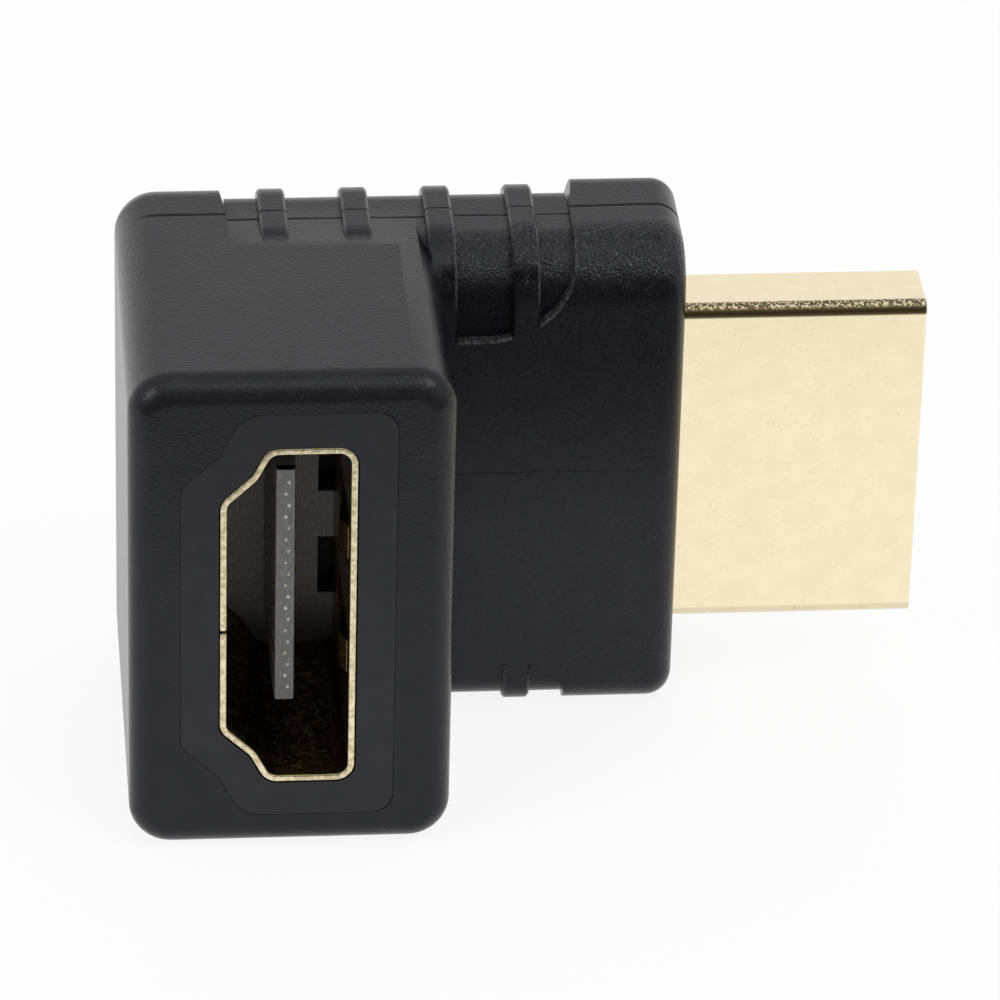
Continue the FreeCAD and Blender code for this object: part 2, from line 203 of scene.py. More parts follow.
# %% Materials
def new_material(name, build):
    """Makes a material whose shader is what build returns."""
    material = bpy.data.materials.new(name)
    material.use_nodes = True
    finish = Finish(material.node_tree)
    finish.add("ShaderNodeOutputMaterial", {}, {"Surface": build(finish)})
    print("finish:", name, "with", len(finish.tree.nodes), "nodes")
    return material


# %% [markdown]
# ## Floor
#
# The photograph has a bright white ground. A strong lamp on the floor would burn out the
# gold, so the white comes from the floor itself instead: rays from the camera and from shiny
# surfaces see it nearly white, and it keeps some of the object's shadow. Far in front of the
# object the studio was dark. The black plastic shows that as dark bands, so shiny surfaces
# see the floor fade out on that side.

# %% Floor
floor_size = 3.0
floor_grey = (0.8, 0.8, 0.8, 1)
floor_white = (1, 1, 1, 1)
floor_glow = 0.88
floor_fade_start = 24 * mm
floor_fade_end = 66 * mm
room_level = 0.2


def seen_by_eye(finish):
    """1 for rays that show a background: from the camera, from metal and from glass."""
    camera_ray = finish.add("ShaderNodeLightPath", output="Is Camera Ray")
    glossy_ray = finish.add("ShaderNodeLightPath", output="Is Glossy Ray")
    clear_ray = finish.add("ShaderNodeLightPath", output="Is Transmission Ray")
    return camera_ray.either(glossy_ray).either(clear_ray)


def floor_shader(finish):
    grey = finish.add("ShaderNodeBsdfDiffuse", {}, {"Color": floor_grey})
    white = finish.add("ShaderNodeBsdfDiffuse", {}, {"Color": floor_white})
    glow = finish.add("ShaderNodeEmission", {}, {"Color": floor_white, "Strength": 1.0})
    room = finish.add("ShaderNodeEmission", {}, {"Color": floor_white, "Strength": room_level})
    lifted = finish.add("ShaderNodeMixShader", {}, {0: floor_glow, 1: white, 2: glow})
    in_front = (0 - finish.axis("Y")).ramp(floor_fade_start, floor_fade_end)
    fade = in_front * finish.add("ShaderNodeLightPath", output="Is Glossy Ray")
    shown = finish.add("ShaderNodeMixShader", {}, {0: fade, 1: lifted, 2: room})
    return finish.add("ShaderNodeMixShader", {}, {0: seen_by_eye(finish), 1: grey, 2: shown})


floor_mesh = bpy.data.meshes.new("studio_floor")
half_floor = floor_size / 2
corners = [(x * half_floor, y * half_floor, 0) for x, y in ((-1, -1), (1, -1), (1, 1), (-1, 1))]
floor_mesh.from_pydata(corners, [], [(0, 1, 2, 3)])
floor_mesh.materials.append(new_material("studio_floor", floor_shader))
studio_floor = bpy.data.objects.new("studio_floor", floor_mesh)
scene.collection.objects.link(studio_floor)

# %% [markdown]
# ## Sky and lamps
#
# The light is an even sky and three large soft lamps. A picture of a studio could wrap the
# scene, but a sky of a few ramps is easier to read and to change. Matt surfaces see one grey
# level all round. Shiny ones see a brighter back, a darker front and one bright panel
# overhead, and those give the black plastic its light and dark bands.

# %% Sky and lamps
sky_strength = 0.66
overhead_level = 0.76
backdrop_level = 0.92
backdrop_start = 0.66
backdrop_end = 0.86
room_start = 0.5
room_end = 0.97
panel_level = 0.5
panel_direction = (0, -0.42, 0.91)

world = bpy.data.worlds.new("studio")
world.use_nodes = True
scene.world = world
sky = Finish(world.node_tree)
direction = sky.add("ShaderNodeTexCoord", output="Generated")
backwards = sky.add("ShaderNodeSeparateXYZ", inputs={"Vector": direction}, output="Y")
forwards = 0 - backwards
backdrop = backwards.ramp(backdrop_start, backdrop_end) * (backdrop_level - overhead_level)
room = forwards.ramp(room_start, room_end) * (overhead_level - room_level)
settings = {"operation": "DOT_PRODUCT"}
facing = sky.add("ShaderNodeVectorMath", settings, {0: direction, 1: panel_direction}, "Value")
panel = facing.ramp(0.9, 0.98) * panel_level
shiny = sky.add("ShaderNodeLightPath", output="Is Glossy Ray")
level = 1 - shiny * (1 - overhead_level - backdrop - panel + room)
strength = sky_strength + seen_by_eye(sky) * (level - sky_strength)
background = sky.add("ShaderNodeBackground", {}, {"Color": floor_white, "Strength": strength})
sky.add("ShaderNodeOutputWorld", {}, {"Surface": background})

softboxes = [
    ("softbox_back", (0.05, 0.75, 0.62), 0.5, 1.4, False),
    ("softbox_left", (-0.75, -0.41, 0.55), 0.42, 2.8, True),
    ("softbox_right", (0.5, -0.32, 0.78), 0.42, 2.8, True),
]
for name, place, size, radiance, mirrored in softboxes:
    lamp = bpy.data.lights.new(name, "AREA")
    lamp.shape = "SQUARE"
    lamp.size = size
    lamp.energy = radiance * pi * size ** 2
    holder = bpy.data.objects.new(name, lamp)
    holder.location = place
    holder.rotation_euler = (-Vector(place)).to_track_quat("-Z", "Y").to_euler()
    holder.visible_glossy = mirrored
    scene.collection.objects.link(holder)
print("softboxes:", len(softboxes))

# %% [markdown]
# ## Places on the overmould
#
# The black moulding doesn't look the same all over. On the shoulder above the plug's arm its grain
# has a stronger bump and painted glints, and the rims of its grip field and ribs are lightened with
# painted highlights. Such places could be painted by hand, but the imported boxes and a few measures
# say where they are. So each place is a mask instead: a value that is 1 there, 0 elsewhere, and soft
# in between.

# %% Measures of the overmould
overmould_low, overmould_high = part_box("overmould")
plug_low, plug_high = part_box("plug_shell")
arm_thickness = 7 * mm
socket_arm_width = 12.18 * mm
arm_front_y = overmould_high.y - arm_thickness
socket_arm_right_x = overmould_low.x + socket_arm_width
field_left_x = overmould_low.x + 4.21 * mm
field_right_x = overmould_low.x + 17.32 * mm
parting_y = (plug_low.y + plug_high.y) / 2 + 0.15 * mm
mid_height = (overmould_low.z + overmould_high.z) / 2 + 0.6 * mm
rib_edge_x = overmould_low.x + 6.45 * mm
rib_pitch = 3.16 * mm
third_rib_end_x = overmould_low.x + 12.85 * mm
last_rib_start_x = overmould_low.x + 14.92 * mm
last_rib_end_x = overmould_low.x + 15.98 * mm
field_corner_radius = 3.4 * mm
field_corner_x = field_right_x - field_corner_radius
field_corner_z = 20.05 * mm
rim_width = 0.08 * mm
print("front of the plug's arm, mm:", round(arm_front_y / mm, 3))
print("grip field, mm:", round(field_left_x / mm, 3), "to", round(field_right_x / mm, 3))


# %% Masks for the fields, the shoulder and the brow
def field_mask(x):
    """1 along the ribbed fields, 0 on the pads at both ends."""
    past_left = x.ramp(field_left_x - 0.02 * mm, field_left_x)
    return past_left * (1 - x.ramp(field_right_x, field_right_x + 0.02 * mm))


def shoulder_mask(x, y, z):
    """1 on the rounded shoulder above the front of the plug's arm, where the grain's bump is stronger
    and glints are painted into the colour.
    """
    upper = z.ramp(overmould_high.z - 2.0 * mm, overmould_high.z - 1.0 * mm)
    front = 1 - y.ramp(arm_front_y + 1.7 * mm, arm_front_y + 2.6 * mm)
    return upper * front * x.ramp(socket_arm_right_x, socket_arm_right_x + 0.4 * mm)


def brow_mask(x, y, z):
    """1 on the rounding above the socket, which gets a few painted glints too."""
    upper = z.ramp(overmould_high.z - 1.0 * mm, overmould_high.z - 0.6 * mm)
    front = 1 - y.ramp(overmould_low.y + 0.5 * mm, overmould_low.y + 0.9 * mm)
    beside = 1 - x.ramp(socket_arm_right_x - 0.8 * mm, socket_arm_right_x - 0.4 * mm)
    return upper * front * beside * x.ramp(overmould_low.x + 0.5 * mm, overmould_low.x + 1.2 * mm)


# %% Masks for painted highlights on rims and rib edges
def rim_mask(x, y, z):
    """1 on the rounded rim of the front field, its ledge and the arc at its right end, which get a
    painted highlight.
    """
    aside = (x - field_corner_x).either(0)
    below = (field_corner_z - z).either(0)
    past_edge = (aside * aside + below * below).root() - field_corner_radius
    band = past_edge.ramp(-0.04 * mm, 0) * (1 - past_edge.ramp(rim_width, rim_width + 0.06 * mm))
    between = x.ramp(third_rib_end_x, third_rib_end_x + 0.03 * mm)
    between = between * (1 - x.ramp(last_rib_start_x, last_rib_start_x + 0.03 * mm))
    beyond = x.ramp(last_rib_end_x, last_rib_end_x + 0.03 * mm)
    front = 1 - y.ramp(arm_front_y + 1.2 * mm, arm_front_y + 2.4 * mm)
    fade = 1 - z.ramp(overmould_high.z - 3.2 * mm, overmould_high.z - 0.8 * mm) * 0.6
    return band * between.either(beyond) * front * fade


def rib_edge_mask(x, y, z):
    """1 along the right edges of the ribs on the shoulder, which get a painted highlight."""
    steps = (x - rib_edge_x) / rib_pitch
    across = steps.distance_to(steps.whole()) * rib_pitch
    upper = z.ramp(overmould_high.z - 2.8 * mm, overmould_high.z - 1.4 * mm)
    front = 1 - y.ramp(arm_front_y + 1.9 * mm, arm_front_y + 2.6 * mm)
    right = x.ramp(socket_arm_right_x, socket_arm_right_x + 0.1 * mm)
    right = right * (1 - x.ramp(last_rib_end_x, last_rib_end_x + 0.1 * mm))
    return (1 - across.ramp(0.03 * mm, 0.06 * mm)) * upper * front * right


# %% [markdown]
# ## Lines of the mould
#
# A thin line runs all round where the halves of the mould met, and a second, broken one
# crosses the front of the plug's arm at half height. Real grooves this fine would need very
# many faces, so they are bumps in the finish. Each line is a distance to a plane, and a slow
# noise makes it wander and swell as the real one does.

# %% Mould lines
def parting_line(finish, x, y, wander):
    """Line where the halves of the mould met: thicker at both ends, and gone at the heel."""
    on_floor = field_mask(x)
    width = (0.1 - on_floor * 0.045) * mm + finish.noise(1.1 * mm).ramp(0.4, 0.7) * (0.03 * mm)
    across = y.distance_to(wander + parting_y)
    heel_end = x.ramp(overmould_low.x + 0.7 * mm, overmould_low.x + 1.6 * mm)
    return (1 - (across / width).ramp(0.5, 1.2)) * heel_end


def middle_line(finish, x, y, z, wander):
    """Faint, broken line halfway up the front of the plug's arm."""
    on_front = 1 - y.ramp(arm_front_y + 0.1 * mm, arm_front_y + 0.3 * mm)
    beside = x.ramp(socket_arm_right_x, socket_arm_right_x + 0.2 * mm)
    fade = 1 - x.ramp(overmould_high.x - 4 * mm, overmould_high.x - 1 * mm)
    broken = finish.noise(1.6 * mm).ramp(0.4, 0.52)
    across = 1 - z.distance_to(wander + mid_height).ramp(0.012 * mm, 0.05 * mm)
    return across * on_front * beside * fade * broken * 0.6


# %% [markdown]
# ## Soft black finish
#
# The outer moulding is a soft black compound from an eroded steel mould. Its pebbled grain is too
# fine to see on flat sides, and its bump is stronger where the surface turns; the glints there, and
# the bright rims, are painted into its colour as painted highlights. The upper front of the plug's
# arm is duller than the rest. A picture could carry all that, but noise in the object's own
# coordinates wraps every side without seams. So a pebbled bump and the masks above shape one shiny
# and one dull shader, and the dull mask mixes the two.

# %% Soft black finish
def dull_mask(x, y, z):
    """How far the upper front of the plug's arm, and most of all its field floor, is dulled."""
    depth = (y - arm_front_y) - field_mask(x) * (0.3 * mm)
    front = 1 - depth.ramp(0.1 * mm, 0.45 * mm)
    on_arm = x.ramp(socket_arm_right_x, socket_arm_right_x + 0.1 * mm)
    floor = field_mask(x) * (y - arm_front_y).ramp(0.2 * mm, 0.3 * mm) * 0.25
    return front * on_arm * z.ramp(7.0 * mm, 17.0 * mm) * (0.7 + floor)


def overmould_shader(finish):
    x, y, z = (finish.axis(name) for name in "XYZ")
    pebble = finish.pebbles(0.12 * mm).ramp(0.1, 0.8)
    fine = finish.noise(0.06 * mm)
    cloud = finish.noise(1.3 * mm)
    wander = (finish.noise(3.0 * mm) - 0.5) * (0.3 * mm)
    line = parting_line(finish, x, y, wander).either(middle_line(finish, x, y, z, wander))
    shoulder = shoulder_mask(x, y, z)
    # Painted highlights: glint spots on the shoulder and the brow are painted into the base colour.
    painted_glint_spots = finish.noise(0.1 * mm).ramp(0.54, 0.72) * finish.noise(0.35 * mm).ramp(0.4, 0.6)
    # Painted highlight: the rims of the front field and the right edges of the ribs are lightened in
    # the base colour.
    painted_highlight = rim_mask(x, y, z) * (0.3 + 0.7 * finish.noise(0.16 * mm).ramp(0.45, 0.62))
    painted_highlight = painted_highlight.either(rib_edge_mask(x, y, z) * 0.6)
    relief = 0.7 + shoulder * 2.0
    height = (fine * 0.5 - pebble) * relief - line * 5.0
    shade = finish.blend(cloud.ramp(0.3, 0.7), (0.0078, 0.008, 0.0094), (0.0105, 0.0107, 0.0124))
    painted_glints = (painted_glint_spots * shoulder.either(brow_mask(x, y, z) * 0.3)).either(painted_highlight)
    # grain here is the base colour with the painted glints and the painted rim highlights mixed in.
    grain = finish.blend(painted_glints, shade, (0.09, 0.091, 0.095))
    colour = finish.tint(grain, finish.blend(line, (1, 1, 1), (0.1, 0.1, 0.1)))
    on_arm = x.ramp(socket_arm_right_x, socket_arm_right_x + 0.1 * mm)
    speckle = 0.5 + (finish.noise(0.09 * mm) - 0.5) * (0.3 + on_arm * 1.2)
    colour = finish.tint(colour, finish.blend(speckle, (0, 0, 0), (2, 2, 2)))
    normal = finish.bump(height, 0.008 * mm)
    sockets = {
        "Base Color": colour,
        "Roughness": 0.2 + fine * 0.08 + line * 0.5,
        "IOR": 1.37,
        "Specular Tint": (0.93, 0.95, 1, 1),
        "Normal": normal,
    }
    shiny = finish.add("ShaderNodeBsdfPrincipled", {}, sockets)
    sockets = {"Base Color": colour, "Roughness": 1.0, "Specular IOR Level": 0.0, "Normal": normal}
    dull = finish.add("ShaderNodeBsdfPrincipled", {}, sockets)
    return finish.add("ShaderNodeMixShader", {}, {0: dull_mask(x, y, z), 1: shiny, 2: dull})


soft_black = new_material("soft_black_finish", overmould_shader)

# %% [markdown]
# ## Inner mould
#
# The connectors were first cast into a harder black block, and the soft compound went over
# it. Its front shows around the socket, a little lighter and smoother than the compound. It
# could share the compound's finish, but its mould wasn't eroded. So it keeps the fine and the
# cloudy noise, and has no pebbles.

# %% Inner mould finish
def inner_mould_shader(finish):
    fine = finish.noise(0.06 * mm)
    cloud = finish.noise(0.9 * mm)
    shade = finish.blend(cloud.ramp(0.3, 0.7), (0.0135, 0.0137, 0.0145), (0.017, 0.0172, 0.018))
    sockets = {
        "Base Color": shade,
        "Roughness": 0.26 + fine * 0.1,
        "IOR": 1.38,
        "Specular Tint": (0.93, 0.95, 1, 1),
        "Normal": finish.bump(fine + cloud * 0.5, 0.003 * mm),
    }
    return finish.add("ShaderNodeBsdfPrincipled", {}, sockets)


mould_black = new_material("mould_black_finish", inner_mould_shader)

# %% [markdown]
# ## Gold of the plug
#
# The plug's shell is folded steel with a thin, pale gold plating. It is smooth, with faint
# rolling marks along its length and a few freckles. Along the fold at its upper front edge the
# plating has cracked, and brown metal shows between the cracks. Polished gold alone would
# mirror the floor evenly, so noise mixes two tones, and the fold is a mask on the distance
# from two sides of the shell.

# %% Plug finish
fold_radius = 0.5 * mm


def plug_gold_shader(finish):
    x, y, z = (finish.axis(name) for name in "XYZ")
    fine = finish.noise(0.06 * mm)
    cloud = finish.noise(0.9 * mm)
    freckle = finish.noise(0.13 * mm).ramp(0.6, 0.8)
    rolled = finish.noise(0.12 * mm, stretch=(0.06, 1, 1))
    from_side = y - plug_low.y
    from_end = (plug_high.z - plug_low.z) / 2 - z.distance_to((plug_high.z + plug_low.z) / 2)
    beside = 1 - from_side.ramp(0.8 * fold_radius, fold_radius)
    above = 1 - from_end.ramp(0.8 * fold_radius, fold_radius)
    fold = beside * above * (0.2 + z.ramp(9 * mm, 11 * mm) * 0.8)
    cracked = finish.noise(0.1 * mm).ramp(0.45, 0.62) * from_side.ramp(0.05 * mm, 0.2 * mm)
    shade = finish.blend(cloud.ramp(0.3, 0.7), (0.945, 0.835, 0.59), (0.98, 0.87, 0.62))
    shade = finish.blend(freckle * 0.35, shade, (0.62, 0.52, 0.33))
    brown = finish.blend(cracked, (0.12, 0.09, 0.045), (0.8, 0.7, 0.48))
    sockets = {
        "Base Color": finish.blend(fold, shade, brown),
        "Metallic": 1.0,
        "Roughness": 0.15 + fine * 0.06 + rolled * 0.06 + fold * 0.15,
        "Normal": finish.bump(rolled + fine * 0.5, 0.0012 * mm),
    }
    return finish.add("ShaderNodeBsdfPrincipled", {}, sockets)


plug_gold = new_material("plug_gold_finish", plug_gold_shader)

# %% [markdown]
# ## Gold of the socket's rim
#
# The socket's shell is the same plated steel, but its rim was cut after plating. So it is duller than
# the plug and blotched. Its edges are darkened with painted shade, which makes the rim look rounded.
# Inside, the sheet is darkened to brown with painted shade of the deep socket, mottled by noise, and
# painted glints are spread near the bottom of the mouth. The rim and the inside could be two
# materials on two sets of faces, but the depth behind the mouth tells them apart as well, with a soft
# change between them.

# %% Rim finish
opening_low, opening_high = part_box("socket_shell")


def rim_gold_shader(finish):
    x, y, z = (finish.axis(name) for name in "XYZ")
    fine = finish.noise(0.07 * mm)
    blotch = finish.noise(0.2 * mm).ramp(0.35, 0.65)
    # Painted shade: just behind the mouth, the flank darkens the pale rim to brown.
    painted_flank_shade = y.ramp(overmould_low.y + 0.004 * mm, overmould_low.y + 0.04 * mm)
    inside = y.ramp(overmould_low.y + 0.15 * mm, overmould_low.y + 0.6 * mm)
    spring_side = x.ramp(opening_high.x - 1.1 * mm, opening_high.x - 0.75 * mm) * inside
    pale = finish.blend(blotch, (0.6, 0.51, 0.32), (0.9, 0.8, 0.57))
    rim_with_painted_shade = finish.blend(painted_flank_shade, pale, (0.22, 0.18, 0.07))
    # Painted shade: deep inside, the colour goes dark brown; painted glints lighten it in specks near
    # the bottom of the mouth.
    near_bottom = 1 - z.ramp(opening_low.z + 0.3 * mm, opening_low.z + 1.5 * mm)
    near_mouth = 1 - y.ramp(opening_low.y + 1 * mm, opening_low.y + 3.5 * mm)
    painted_glint_specks = near_bottom * near_mouth * finish.noise(0.15 * mm).ramp(0.45, 0.65)
    painted_shade_mottle = finish.noise(0.4 * mm).ramp(0.45, 0.75).either(painted_glint_specks)
    painted_recess_shade = finish.blend(painted_shade_mottle, (0.1, 0.065, 0.03), (0.5, 0.36, 0.18))
    deep = finish.blend(inside, rim_with_painted_shade, painted_recess_shade)
    sockets = {
        "Base Color": finish.blend(spring_side, deep, (0.2, 0.13, 0.06)),
        "Metallic": 1.0,
        "Roughness": 0.2 + fine * 0.15,
        "Normal": finish.bump(fine + blotch, 0.005 * mm),
    }
    return finish.add("ShaderNodeBsdfPrincipled", {}, sockets)


rim_gold = new_material("rim_gold_finish", rim_gold_shader)

# %% [markdown]
# ## Insulators
#
# The socket's insulator is a glass-filled plastic. Deep in the socket its colour is lifted with
# painted light, so its rear wall reads grey. Towards the bottom, and behind the rear wall in its two
# notches, it is darkened with painted shade. Its tongue, which sits nearer the light, is clearly a
# mid grey with pale fibres in it. The plug's insulator is plain black. They could be two separate
# finishes, but they differ only in their tones, so one builder makes both.

# %% Insulator finishes
socket_low, socket_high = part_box("socket_housing")
socket_depth = 9.5 * mm
rear_wall_y = overmould_low.y + socket_depth


def insulator(dark, pale, painted_rear_gain, roughness):
    def shader(finish):
        fine = finish.noise(0.05 * mm)
        fibres = finish.noise(0.08 * mm, stretch=(1, 1, 0.3)).ramp(0.45, 0.75)
        shade = finish.blend(fine * 0.5 + fibres * 0.5, (dark,) * 3, (pale,) * 3)
        y, z = finish.axis("Y"), finish.axis("Z")
        depth = y.ramp(socket_low.y + 1 * mm, socket_low.y + 5 * mm)
        lower = 1 - z.ramp(socket_low.z, socket_low.z + 3.5 * mm)
        # Painted light: the deep part of the socket is lifted by the gain. Painted shade: its lower
        # deep part is darkened, and so is everything behind the rear wall, in the notches.
        painted_light_and_shade = finish.blend(depth, (1, 1, 1), (painted_rear_gain,) * 3)
        painted_light_and_shade = finish.blend(depth * lower, painted_light_and_shade, (0.25,) * 3)
        painted_notch_shade = y.ramp(rear_wall_y + 0.05 * mm, rear_wall_y + 0.15 * mm)
        sockets = {
            "Base Color": finish.tint(shade, finish.blend(painted_notch_shade, painted_light_and_shade, (0.15,) * 3)),
            "Roughness": roughness + fine * 0.1,
            "Normal": finish.bump(fine + fibres, 0.003 * mm),
        }
        return finish.add("ShaderNodeBsdfPrincipled", {}, sockets)
    return shader


tongue_grey = new_material("tongue_grey_finish", insulator(0.15, 0.36, 1.9, 0.45))
insulator_black = new_material("insulator_black_finish", insulator(0.012, 0.022, 1.0, 0.35))

# %% [markdown]
# ## Contacts and board
#
# The contacts are gold too, but stamped, so they are a little redder and brushed along their length.
# Where they look out of the tongue's front edge, their noses are pale, partly their own colour and
# partly painted highlight. The board between the two rows is green, and the weave of its glass cloth
# shows through. A weave could be modelled thread by thread, but two crossed sine waves draw it with a
# few nodes.

# %% Contact and board finishes
def contact_shader(finish):
    fine = finish.noise(0.05 * mm)
    brushed = finish.noise(0.03 * mm, stretch=(0.1, 0.1, 1))
    sockets = {
        "Base Color": finish.blend(fine, (0.5, 0.36, 0.18), (0.8, 0.64, 0.38)),
        "Metallic": 1.0,
        "Roughness": 0.2 + brushed * 0.15,
        "Normal": finish.bump(brushed, 0.001 * mm),
    }
    return finish.add("ShaderNodeBsdfPrincipled", {}, sockets)


def board_shader(finish):
    along = (finish.axis("X") / (0.05 * mm)).sine()
    across = (finish.axis("Z") / (0.05 * mm)).sine()
    weave = along * across * 0.5 + 0.5
    shade = finish.blend(weave, (0.01, 0.09, 0.03), (0.02, 0.13, 0.05))
    sockets = {"Base Color": shade, "Roughness": 0.35, "Normal": finish.bump(weave, 0.004 * mm)}
    return finish.add("ShaderNodeBsdfPrincipled", {}, sockets)


def nose_shader(finish):
    # Painted highlight: the noses are nearly white, and a slow noise makes some brighter than others.
    painted_highlight = finish.noise(1.1 * mm).ramp(0.4, 0.6)
    shade = finish.blend(painted_highlight, (0.7, 0.64, 0.54), (1.0, 0.98, 0.93))
    sockets = {"Base Color": shade, "Metallic": 0.3, "Roughness": 0.2 + painted_highlight * 0.1}
    return finish.add("ShaderNodeBsdfPrincipled", {}, sockets)


gold_contact = new_material("gold_contact_finish", contact_shader)
nose_gold = new_material("nose_gold_finish", nose_shader)
board_green = new_material("board_green_finish", board_shader)

# %% [markdown]
# ## Soft edges
#
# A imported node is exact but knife-edged, and a real moulding or folded sheet never is. The
# edges could be faked in the shader, but then the mesh would stay sharp. So each large
# piece is a copy of its node: its loose triangles are welded, flat areas are made one face
# again, and a narrow bevel rounds what is sharp. Each edge has a weight, so that one bevel
# can be wide in one place and narrow in another. The work is done in millimetres, because
# the bevel is unsure of itself on edges a few micrometres long.

# %% Copies of the nodes
weld_distance = 0.0005
flat_angle = radians(0.6)
sharp_angle = radians(32)
print("rounded: edges that turn by more than", round(sharp_angle * 180 / pi), "degrees")


def welded(node):
    """The node's triangles in millimetres, joined up again, with flat areas made one face."""
    form = bmesh.new()
    form.from_mesh(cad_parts[node].data)
    form.transform(Matrix.Scale(1 / mm, 4))
    bmesh.ops.remove_doubles(form, verts=form.verts, dist=weld_distance)
    bmesh.ops.dissolve_limit(form, angle_limit=flat_angle, verts=form.verts, edges=form.edges)
    return form


def mark_edges(form, share):
    """Weighs each sharp edge for the bevel with what share gives for it."""
    weights = form.edges.layers.float.new("bevel_weight_edge")
    sharp = 0
    for edge in form.edges:
        if edge.is_manifold and edge.calc_face_angle() > sharp_angle:
            edge[weights] = share(edge)
            sharp += 1
    return sharp


# %% Finished pieces
def finished_piece(name, nodes, mesh, material):
    """Object for a finished mesh in metres. It rides on the root and stands for the nodes."""
    mesh.name = name
    mesh.materials.clear()
    mesh.materials.append(material)
    piece = bpy.data.objects.new(name, mesh)
    scene.collection.objects.link(piece)
    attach(piece, "root")
    if nodes:
        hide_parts(*nodes)
    print(name, "has", len(mesh.polygons), "faces")
    return piece


def baked(mesh, kind, settings):
    """The mesh after one modifier."""
    carrier = bpy.data.objects.new("carrier", mesh)
    scene.collection.objects.link(carrier)
    modifier = carrier.modifiers.new("step", kind)
    for name, value in settings.items():
        setattr(modifier, name, value)
    view = bpy.context.evaluated_depsgraph_get()
    result = bpy.data.meshes.new_from_object(carrier.evaluated_get(view))
    bpy.data.objects.remove(carrier)
    return result


# %% Soft edges for a node
def all_alike(edge):
    return 1.0


def close_slivers(mesh):
    """Joins up points that the bevel left on top of each other."""
    form = bmesh.new()
    form.from_mesh(mesh)
    doubles = bmesh.ops.find_doubles(form, verts=form.verts, dist=weld_distance)["targetmap"]
    if doubles:
        bmesh.ops.weld_verts(form, targetmap=doubles)
        bmesh.ops.dissolve_degenerate(form, dist=weld_distance, edges=form.edges)
        bmesh.ops.recalc_face_normals(form, faces=form.faces)
        form.to_mesh(mesh)
    form.free()


def soft_edged(node, name, material, edge_width, segments=2, share=all_alike, reshape=None):
    """The piece that stands for a node, with its sharp edges rounded."""
    form = welded(node)
    if reshape:
        reshape(form)
    sharp = mark_edges(form, share)
    mesh = bpy.data.meshes.new(name)
    form.to_mesh(mesh)
    form.free()
    mesh.shade_smooth()
    settings = {
        "limit_method": "WEIGHT",
        "width": edge_width / mm,
        "segments": segments,
        "use_clamp_overlap": True,
    }
    mesh = baked(mesh, "BEVEL", settings)
    close_slivers(mesh)
    finished = baked(mesh, "WEIGHTED_NORMAL", {"keep_sharp": True})
    finished.transform(Matrix.Scale(mm, 4))
    print(node, "has", sharp, "sharp edges")
    return finished_piece(name, [node], finished, material)


# %% [markdown]
# ## Seam and tongue edge
#
# The soft compound was cast against the hard block, so only a hair's gap shows between them.
# The tongue's front edge is moulded over the ends of the contacts. Both could be changed in
# the whole mesh with modifiers, but each concerns a few points only: those on the block's
# front face are moved outwards, and a tapered block is added over the contacts' ends.

# %% Seam and tongue edge
on_face = 0.01
mouth_y = overmould_low.y / mm
seam_growth = 0.032
half_tongue = 0.395
tongue_taper = 0.05
tongue_edge_depth = 0.35


def close_seam(form):
    """Spreads the front face of the inner mould, so that only a hair's gap is left."""
    form.normal_update()
    shifts = []
    for vert in form.verts:
        if vert.co.y < mouth_y + on_face:
            outward = Vector((vert.normal.x, 0, vert.normal.z))
            if outward.length > 0.1:
                shifts.append((vert, outward.normalized() * seam_growth))
    for vert, shift in shifts:
        vert.co += shift
    print("points moved towards the seam:", len(shifts))


def mould_tongue_edge(form):
    """Adds the edge of the tongue, which is moulded over the ends of the contacts."""
    front = socket_low.y / mm
    middle_x = (socket_low.x + socket_high.x) / 2 / mm
    at_front = [vert.co.z for vert in form.verts if vert.co.y < front + on_face]
    front_section = (front - on_face, half_tongue - tongue_taper)
    rear_section = (front + tongue_edge_depth, half_tongue)
    block = bmesh.ops.create_cube(form, size=2)
    for vert in block["verts"]:
        y, half = rear_section if vert.co.y > 0 else front_section
        z = max(at_front) if vert.co.z > 0 else min(at_front)
        side = 1 if vert.co.x > 0 else -1
        vert.co = Vector((middle_x + side * half, y, z))
    print("tongue's edge, mm long:", round(max(at_front) - min(at_front), 2))


# %% [markdown]
# ## Rim of the front field
#
# The rim of the grip field at the front is rounder than other edges, and catches light as a soft
# band, which the finish strengthens with a painted highlight. One bevel for all edges would be held
# back to the narrowest of them, so these few edges get a bevel of their own first. They are found by
# their place: on the ledge, on the arc, or on the short straight beside it.

# %% Rim of the front field
rim_rounding = 0.2
near_line = 0.06
near_arc = 0.08
rim_reach_y = arm_front_y / mm + 1.1
ledge_z = (field_corner_z - field_corner_radius) / mm
rim_low_z = ledge_z - 0.45
rim_high_z = field_corner_z / mm - 0.15


def on_field_rim(edge):
    """Whether the edge is on the rim of the ribbed field at the front."""
    middle = (edge.verts[0].co + edge.verts[1].co) / 2
    if not (edge.is_manifold and edge.is_convex and edge.calc_face_angle() > sharp_angle):
        return False
    if middle.y > rim_reach_y or middle.x < socket_arm_right_x / mm:
        return False
    if not rim_low_z < middle.z < rim_high_z:
        return False
    aside = middle.x - field_corner_x / mm
    below = field_corner_z / mm - middle.z
    from_arc = abs(Vector((aside, below)).length - field_corner_radius / mm)
    on_arc = aside > 0 and below > 0 and from_arc < near_arc
    on_ledge = abs(middle.z - ledge_z) < near_line
    on_side = abs(middle.x - field_right_x / mm) < near_line
    return on_arc or on_ledge or on_side


def ease_field_rim(form):
    """Gives the rim of the front field a wider rounding than other edges have."""
    rim = [edge for edge in form.edges if on_field_rim(edge)]
    bmesh.ops.bevel(form, geom=rim, offset=rim_rounding, offset_type="OFFSET", segments=3,
                    profile=0.5, affect="EDGES", clamp_overlap=True)
    print("edges on the rim of the front field:", len(rim))


